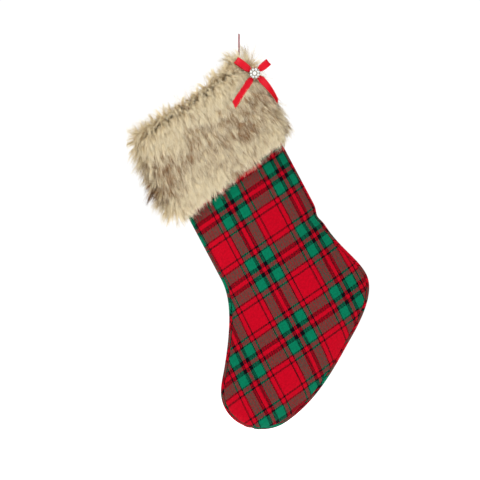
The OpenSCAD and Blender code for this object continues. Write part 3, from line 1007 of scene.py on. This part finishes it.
def make_setting():
    work = bmesh.new()
    add_copies(work, rod(STONE_RING_R + 0.6, STONE_RING_R + 0.2, -PLATE_TH, 0.0, 48))
    add_copies(work, rod(STONE_R + SCALLOP, STONE_R + SCALLOP - 0.25, -PLATE_TH, 0.05), ring(STONE_RING_R))
    add_copies(work, stone_cup(STONE_R, 4), ring(STONE_RING_R))
    add_copies(work, leaf, ring(STONE_RING_R + 1.9, 0.5))
    add_copies(work, bead(0.5, at=(0, 0, 0.35)), ring(STONE_RING_R - 1.9, 0.5))
    add_copies(work, stone_cup(CENTRE_STONE_R, 6))
    piece = new_piece("brooch_flower", brooch_mesh(work, "brooch_flower"), SILVER, "bow")
    bevel = piece.modifiers.new("soft_edges", "BEVEL")
    bevel.width = 0.08 * MM
    bevel.segments = 2
    bevel.limit_method = "ANGLE"
    bevel.angle_limit = math.radians(40)
    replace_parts(piece, "brooch_setting")


def brilliant(radius):
    """A round stone whose table is turned half a facet from its edge, so the crown is a ring of triangles."""
    def build(one):
        bmesh.ops.create_cone(one, cap_ends=True, segments=FACETS, radius1=radius, radius2=radius * 0.58,
                              depth=radius * 0.42)
        turn = Matrix.Rotation(math.pi / FACETS, 3, "Z")
        bmesh.ops.rotate(one, verts=[v for v in one.verts if v.co.z > 0], cent=(0, 0, 0), matrix=turn)
        bmesh.ops.translate(one, verts=one.verts, vec=(0, 0, radius * 0.71))
        add_copies(one, rod(radius * 0.3, radius, 0, radius * 0.5, FACETS))
        bmesh.ops.triangulate(one, faces=[face for face in one.faces if len(face.verts) == 4])

    return build


def stone_piece(name, build, places, material, node):
    work = bmesh.new()
    add_copies(work, build, places)
    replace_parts(new_piece(name, brooch_mesh(work, name), material, "bow"), node)


make_setting()
stone_piece("brooch_crystals", brilliant(STONE_R), ring(STONE_RING_R), CRYSTAL, "brooch_stones")
round_stone = bead(CENTRE_STONE_R, (1, 1, 0.8), (0, 0, CENTRE_STONE_R * 0.42), finer=4)
stone_piece("brooch_centre", round_stone, [Matrix()], PEARL, "brooch_centre_stone")

# ---------------------------------------------------------------- the knot in the cord, and what stays as it is

BALL_CORD_R = 1.02
BALL_SIZE = 0.72
BALL_HEIGHT = 1.6


def make_loop_knot():
    """The cord's two ends tied in a ball: a trefoil of cord."""
    turns = np.linspace(0, 2 * np.pi, 72, endpoint=False)
    wide = 2 + np.cos(3 * turns)
    route = np.stack([wide * np.cos(2 * turns), wide * np.sin(2 * turns), BALL_HEIGHT * np.sin(3 * turns)], -1)
    mesh = tube_mesh("loop_ball_knot", HINGE + route * BALL_SIZE * MM, BALL_CORD_R * MM, closed=True)
    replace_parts(new_piece("loop_ball_knot", mesh, CORD_SATIN, "loop_knot"), "loop_knot")


make_loop_knot()

for node, material in (("loop_stitches", THREAD), ("bow_stitches", THREAD), ("brooch_shank", SILVER)):
    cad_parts[node].data.materials.clear()
    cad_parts[node].data.materials.append(material)

# ---------------------------------------------------------------- fur cuff

CUFF_RISE = 2
BACKING_OUT = 4.5
BACKING_SIDE = 8
BACKING_TH = 1.0
BACKING_COLUMNS, BACKING_ROWS = 56, 40
CUFF_ROUND = 2.4


def cuff_points(s, r, side):
    t = -np.cos(np.pi * s)
    top = np.clip(1 - r / 0.07, 0, 1)
    hem = np.clip((r - 0.95) / 0.05, 0, 1)
    fullness = np.sqrt(np.clip(1 - top ** 2, 0, None)) * (1 - 0.75 * hem ** 2)
    x = t * (HALF_W + 0.6 + BACKING_SIDE * fullness)
    low = -mix(MOUTH_DROP + CUFF_TOE_LEN, CUFF_HEEL_LEN, x / LEG_W + 0.5)
    high = mouth_z(x) + CUFF_RISE - 1.5 * top
    lying = (MOUTH_PUFF + 0.8) * side_fall(t)
    round_out = (MOUTH_PUFF + BACKING_OUT) * np.clip(1 - np.abs(t) ** CUFF_ROUND, 0, None) ** (1 / CUFF_ROUND)
    y = mix(lying, round_out, fullness) * (-1 if side == "front" else 1)
    return np.stack([x, y, mix(high, low, r)], -1)


def rolled_out(mesh, columns, rows):
    """Each point's place, in millimetres, when every row and column is pulled straight."""
    across, down = shares_of(mesh)
    order = np.lexsort((across.round(6), down.round(6)))
    grid = coordinates(mesh)[order].reshape(rows + 1, columns + 1, 3) / MM
    places = np.empty((len(order), 2))
    places[order, 0] = rolled(grid).ravel()
    places[order, 1] = rolled(grid.swapaxes(0, 1)).T.ravel()
    return places


def make_backing(side):
    mesh = grid_mesh(BACKING_COLUMNS, BACKING_ROWS, lambda s, r: hung(cuff_points(s, r, side)))
    turn_outwards(mesh, side)
    piece = new_piece(f"fur_backing_{side}", mesh, FUR_BACKING, "stocking")
    thicken(piece, BACKING_TH)
    rolled_out(mesh, BACKING_COLUMNS, BACKING_ROWS)
    return mesh


TUFTS_PER_SQ_CM = 11.0


def scatter(mesh, draws, count=None):
    """Random points over a mesh, one per tuft if no count is given: places, outward ways, shares across and down."""
    mesh.calc_loop_triangles()
    corners = read(mesh.loop_triangles, "vertices", 3, np.int32)
    points, normals = coordinates(mesh), vertex_normals(mesh)
    a, b, c = [points[corners[:, k]] for k in range(3)]
    areas = np.linalg.norm(np.cross(b - a, c - a), axis=1)
    count = count or int(areas.sum() / 2 * 1e4 * TUFTS_PER_SQ_CM)
    chosen = corners[draws.choice(len(corners), count, p=areas / areas.sum())]
    first, second = np.sqrt(draws.random(count)), draws.random(count)
    share = np.stack([1 - first, first * (1 - second), first * second], -1)[..., None]
    places, outs, sheet = [(values[chosen] * share).sum(1)
                           for values in (points, normals, np.stack(shares_of(mesh), -1))]
    return places, units(outs), sheet[:, 0], sheet[:, 1]


PATCH_WAVES = 9
PATCH_REACH = (0.6, 1.6)


def patchy(points, seed, wave):
    """Soft patches between 0 and 1 over the cuff, wave metres apart."""
    draws = np.random.default_rng(seed)
    total = np.zeros(len(points))
    for _ in range(PATCH_WAVES):
        way = units(draws.normal(size=3) * (1.0, 0.4, 0.6))
        turns = points @ way * 2 * np.pi / (wave * draws.uniform(*PATCH_REACH))
        total += np.sin(turns + draws.uniform(0, 2 * np.pi))
    return np.clip(0.5 + total / 7, 0, 1)


def heel_corner(across, down):
    """1 at the heel's top corner, where the pile stands up round the cord."""
    return smooth((across - 0.7) / 0.2) * smooth((0.17 - down) / 0.15)


def toe_edge(across):
    return smooth((0.12 - across) / 0.12)


RIM = 0.07
RIM_STANDS = 0.4
TIP_FALL = 0.12


def lay_of_pile(out, across, down, draws, spread):
    """The way a tuft starts and the way its tip points: down the leg, but standing up and out along the rim."""
    count = len(out)
    flow = units(DOWN_LEG - (out @ DOWN_LEG)[:, None] * out)
    top = smooth((RIM - down) / 0.05)[:, None] * draws.uniform(0.4, 1.0, (count, 1))
    top = top * (draws.random((count, 1)) < RIM_STANDS)
    lift = smooth((0.2 - down) / 0.2)[:, None]
    heel, toe = heel_corner(across, down)[:, None], toe_edge(across)[:, None]
    stray = draws.normal(size=(count, 3)) * spread
    start = units(out * (0.8 + 0.5 * toe)
                  + flow * (0.62 - 0.5 * lift - 0.65 * top - 0.9 * heel - 0.3 * toe) + stray * 0.6)
    end = units(out * (0.02 + 0.35 * top + 0.8 * toe)
                + flow * (1.0 - 0.3 * lift - 1.25 * top - 1.5 * heel - 0.35 * toe) + stray
                + np.array([0, 0, -TIP_FALL]))
    return start, end


PILE_LEN = 27.0
RIM_PILE_LEN = 21.0
HEEL_PILE_MORE = 9.0
TOE_PILE_MORE = 4.0


def pile_length(across, down, draws):
    length = mix(PILE_LEN, RIM_PILE_LEN, smooth((0.1 - down) / 0.1))
    length = length + HEEL_PILE_MORE * heel_corner(across, down) + TOE_PILE_MORE * toe_edge(across)
    return draws.normal(1.0, 0.17, len(down)).clip(0.65, 1.4) * length * MM


# How far the pile may reach, in the frame's metres
PILE_LOW = (-0.1695, -0.0525, -0.32)
PILE_HIGH = (0.1, 0.0485, 0.0)
PILE_SOFT = 0.006


def within_reach(points):
    """Bends back, ever more softly, what would stand beyond the pile's reach."""
    low, high = np.array(PILE_LOW), np.array(PILE_HIGH)
    over = np.clip(points - (high - PILE_SOFT), 0, None)
    under = np.clip((low + PILE_SOFT) - points, 0, None)
    return points - over + PILE_SOFT * np.tanh(over / PILE_SOFT) + under - PILE_SOFT * np.tanh(under / PILE_SOFT)


TUFT_STRAY, HAIR_STRAY = 0.30, 0.26


class Tufts:
    """What the hairs of one half of the cuff gather to."""

    def __init__(self, mesh, side):
        draws = np.random.default_rng(SEED + (side == "back"))
        self.roots, outs, across, down = scatter(mesh, draws)
        count = len(self.roots)
        self.start, self.end = lay_of_pile(outs, across, down, draws, TUFT_STRAY)
        sides = smooth((0.07 - np.minimum(across, 1 - across)) / 0.07)
        self.edge = np.clip(smooth((0.10 - down) / 0.10) + sides, 0, 1)
        self.length = pile_length(across, down, draws) * (1 + 0.6 * self.edge * draws.random(count) ** 2.5)
        self.band = np.exp(-((down - 0.50) / 0.24) ** 2)
        pale = 0.3 * np.exp(-((down - 0.1) / 0.14) ** 2)
        brown = patchy(self.roots, SEED + 5, 0.060) * 0.5 + self.band * 0.35 + draws.random(count) ** 1.5 * 0.9
        self.tone = smooth((brown - pale - 0.84) / 0.4)
        self.tree = KDTree(count)
        for index, place in enumerate(self.roots):
            self.tree.insert(place, index)
        self.tree.balance()

    def nearest(self, places):
        return np.array([self.tree.find(place)[1] for place in places])


STRAND_LEVELS = (0.0, 0.22, 0.48, 0.76, 1.0)
STRAND_WIDTHS = (0.36, 0.36, 0.30, 0.20)
# Where along its hair each of a strand's nine points lies: four pairs and the tip
STRAND_SHARES = [share for share in STRAND_LEVELS[:-1] for _ in (0, 1)] + [STRAND_LEVELS[-1]]
STRAND_FACES = [0, 1, 3, 2, 2, 3, 5, 4, 4, 5, 7, 6, 6, 7, 8]
FACE_SIZES = [4, 4, 4, 3]


def strand_mesh(name, points, ways, outs, draws):
    """Flat tapering strands: points has one row per strand and one column per level."""
    count, per = len(points), len(STRAND_SHARES)
    twist = draws.uniform(-1.0, 1.0, count)[:, None]
    thick = draws.uniform(0.75, 1.25, count)[:, None] * MM
    verts, normals = [], []
    for k, way in enumerate(ways):
        facing = units(outs - (outs * way).sum(1, keepdims=True) * way)
        flat = np.cross(way, facing) * np.cos(twist) + facing * np.sin(twist)
        if k < len(STRAND_WIDTHS):
            half = flat * (STRAND_WIDTHS[k] / 2 * thick)
            verts += [points[:, k] - half, points[:, k] + half]
            normals += [facing, facing]
        else:
            verts.append(points[:, k])
            normals.append(facing)
    corners = (np.arange(count) * per)[:, None] + STRAND_FACES
    sizes = np.tile(FACE_SIZES, count)
    mesh = bpy.data.meshes.new(name)
    mesh.vertices.add(count * per)
    mesh.loops.add(corners.size)
    mesh.polygons.add(len(sizes))
    mesh.vertices.foreach_set("co", np.stack(verts, 1).astype(np.float32).ravel())
    mesh.loops.foreach_set("vertex_index", corners.astype(np.int32).ravel())
    mesh.polygons.foreach_set("loop_start", np.concatenate([[0], np.cumsum(sizes)[:-1]]).astype(np.int32))
    mesh.update(calc_edges=True)
    mesh.polygons.foreach_set("use_smooth", np.ones(len(sizes), bool))
    return mesh, np.stack(normals, 1).reshape(-1, 3).astype(np.float32)


def bake_places(count):
    """A narrow upright cell of its own for every strand, so that the fur's colour can be baked."""
    columns = math.ceil(math.sqrt(count * 3))
    lines = math.ceil(count / columns) * 3
    cell = np.arange(count)
    x = (cell % columns)[:, None] + np.array([0.1, 0.9] * 4 + [0.5])[None]
    y = (cell // columns)[:, None] * 3 + 0.15 + np.array(STRAND_SHARES)[None] * 2.7
    return np.stack([x.ravel() / columns, y.ravel() / lines], -1)


STRANDS_PER_PIECE = 27000
SHORT_SHARE, SHORT_LEN, SHORT_CLING = 0.28, 0.55, 0.3
GUARD_SHARE, GUARD_LEN, GUARD_CLING = 0.12, 1.2, 0.25
LEAST_CLING, USUAL_CLING, MOST_CLING = 0.55, 0.92, 0.95


def grow_fur(name, backing, tufts, seed, hold_back):
    """One piece of the pile: soft hairs drawn to their tufts, short ones beneath and stiff guard hairs over them."""
    count = STRANDS_PER_PIECE
    draws = np.random.default_rng(seed)
    roots, outs, across, down = scatter(backing, draws, count)
    near = tufts.nearest(roots)
    own_start, own_end = lay_of_pile(outs, across, down, draws, HAIR_STRAY)
    kind = draws.random(count)
    short, guard = kind < SHORT_SHARE, kind > 1 - GUARD_SHARE
    gathers = np.minimum(draws.uniform(LEAST_CLING, USUAL_CLING, count) + 0.15 * tufts.edge[near], MOST_CLING)
    cling = np.where(short, SHORT_CLING, np.where(guard, GUARD_CLING, gathers))[:, None]
    start = units(mix(own_start, tufts.start[near], cling))
    end = units(mix(own_end, tufts.end[near], cling))
    length = mix(pile_length(across, down, draws), tufts.length[near], 0.6)
    length = length * np.where(short, SHORT_LEN, np.where(guard, GUARD_LEN, 1.0))
    pull = (tufts.roots[near] - roots) * cling
    swing = units(np.cross(outs, start)) * draws.normal(0, 0.0009, count)[:, None]
    points, ways = [], []
    for share in STRAND_LEVELS:
        bow = start * share + (end - start) * share ** 2 / 2
        reached = roots + length[:, None] * bow + pull * share ** 1.3 + swing * math.sin(share * 5.0)
        points.append(hold_back(within_reach(reached)))
        ways.append(units(start + (end - start) * share))
    mesh, normals = strand_mesh(name, np.stack(points, 1), ways, outs, draws)
    add_value(mesh, "along", np.tile(STRAND_SHARES, count))
    dark_guard = guard * (draws.random(count) < 0.5) * (0.25 + tufts.band[near])
    tone = np.clip(tufts.tone[near] * 0.9 + draws.normal(0, 0.1, count) + dark_guard * 0.6, 0, 1)
    add_value(mesh, "tone", np.repeat(tone, len(STRAND_SHARES)))
    add_value(mesh, "shade", np.repeat(draws.random(count), len(STRAND_SHARES)))
    add_map(mesh, "OFBake", bake_places(count))
    piece = new_piece(name, mesh, LONG_PILE, "stocking")
    mesh.normals_split_custom_set_from_vertices(normals)
    return piece


SCREEN_STEP = 0.0005
SCREEN_REACH = 8
SCREEN_SLOPE = 0.0004
SCREEN_GAP = 0.0008
FAR_FRONT = -0.2


def ribbon_screen():
    """What keeps the pile behind the bow: how far back the bow reaches at each place, with a slope round it."""
    work = bmesh.new()
    graph = bpy.context.evaluated_depsgraph_get()
    for piece in bow_ribbons + [bow_knot_turn]:
        work.from_mesh(piece.evaluated_get(graph).to_mesh())
    tree = BVHTree.FromBMesh(work)
    points = np.array([vertex.co[:] for vertex in work.verts])
    work.free()
    low = points.min(0)[[0, 2]] - SCREEN_STEP * SCREEN_REACH
    size = np.ceil((points.max(0)[[0, 2]] - low) / SCREEN_STEP).astype(int) + SCREEN_REACH
    limit = np.full(size, FAR_FRONT)
    for i, k in np.ndindex(*size):
        x, z = low + np.array([i, k]) * SCREEN_STEP
        hit = tree.ray_cast(Vector((x, -FAR_FRONT, z)), Vector((0, -1, 0)))[0]
        if hit is not None:
            limit[i, k] = hit.y + SCREEN_GAP
    for _ in range(SCREEN_REACH):
        wider = limit - SCREEN_SLOPE
        for axis in (0, 1):
            for shift in (-1, 1):
                limit = np.maximum(limit, np.roll(wider, shift, axis))

    def hold_back(points):
        at = (points[:, [0, 2]] - low) / SCREEN_STEP
        inside = ((at > 0) & (at < size - 1)).all(1)
        cell = np.clip(np.rint(at).astype(int), 0, size - 1)
        held = points.copy()
        held[:, 1] = np.where(inside, np.maximum(points[:, 1], limit[cell[:, 0], cell[:, 1]]), points[:, 1])
        return held

    return hold_back


def make_cuff():
    hold_back = ribbon_screen()
    for side, pieces, first_seed in (("front", 5, SEED), ("back", 3, SEED + 7)):
        backing = make_backing(side)
        tufts = Tufts(backing, side)
        for number in range(pieces):
            piece = grow_fur(f"fur_{side}_{number + 1}", backing, tufts, first_seed + 31 * number, hold_back)
        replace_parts(piece, f"cuff_{side}")


make_cuff()

# ---------------------------------------------------------------- studio

FLOOR_Z = -0.74
FLOOR_SIZE = 6.0
FLOOR_GLOW = 0.7
AIR_LIGHTS, AIR_LOOKS = 0.42, 1.05


def make_floor():
    work = bmesh.new()
    bmesh.ops.create_grid(work, x_segments=2, y_segments=2, size=FLOOR_SIZE)
    bmesh.ops.translate(work, verts=work.verts, vec=(0, 0, FLOOR_Z))
    mesh = finished(work, "studio_floor")
    paper = Finish("white_paper", Roughness=0.9, Specular_IOR_Level=0.1, Base_Color=rgb(250, 250, 250),
                   Emission_Color=(1, 1, 1, 1), Emission_Strength=FLOOR_GLOW)
    mesh.materials.append(paper.material)
    floor = bpy.data.objects.new("studio_floor", mesh)
    bpy.context.scene.collection.objects.link(floor)


def make_air():
    """White air behind the object, which lights it more softly than it looks."""
    air = bpy.data.worlds.new("studio_air")
    air.use_nodes = True
    nodes, links = air.node_tree.nodes, air.node_tree.links
    soft, seen = nodes["Background"], nodes.new("ShaderNodeBackground")
    for background, strength in ((soft, AIR_LIGHTS), (seen, AIR_LOOKS)):
        background.inputs["Color"].default_value = (1, 1, 1, 1)
        background.inputs["Strength"].default_value = strength
    chosen = nodes.new("ShaderNodeMixShader")
    links.new(nodes.new("ShaderNodeLightPath").outputs["Is Camera Ray"], chosen.inputs[0])
    links.new(soft.outputs[0], chosen.inputs[1])
    links.new(seen.outputs[0], chosen.inputs[2])
    links.new(chosen.outputs[0], nodes["World Output"].inputs["Surface"])
    bpy.context.scene.world = air


LIGHTS_AIM = (0, 0, -0.3)
LIGHTS = (("softbox_left", (-1.3, -1.7, 0.9), 1.1, 30), ("softbox_right", (1.5, -1.6, 0.3), 1.4, 12),
          ("overhead", (0.1, -0.2, 1.5), 1.2, 8), ("softbox_behind", (0.6, 1.9, 0.7), 1.3, 24))


def make_studio():
    make_floor()
    make_air()
    for name, place, size, power in LIGHTS:
        data = bpy.data.lights.new(name, "AREA")
        data.size = size
        data.energy = power
        light = bpy.data.objects.new(name, data)
        light.location = place
        light.rotation_euler = (Vector(LIGHTS_AIM) - Vector(place)).to_track_quat("-Z", "Y").to_euler()
        bpy.context.scene.collection.objects.link(light)
    bpy.context.scene.view_settings.view_transform = "Standard"


make_studio()
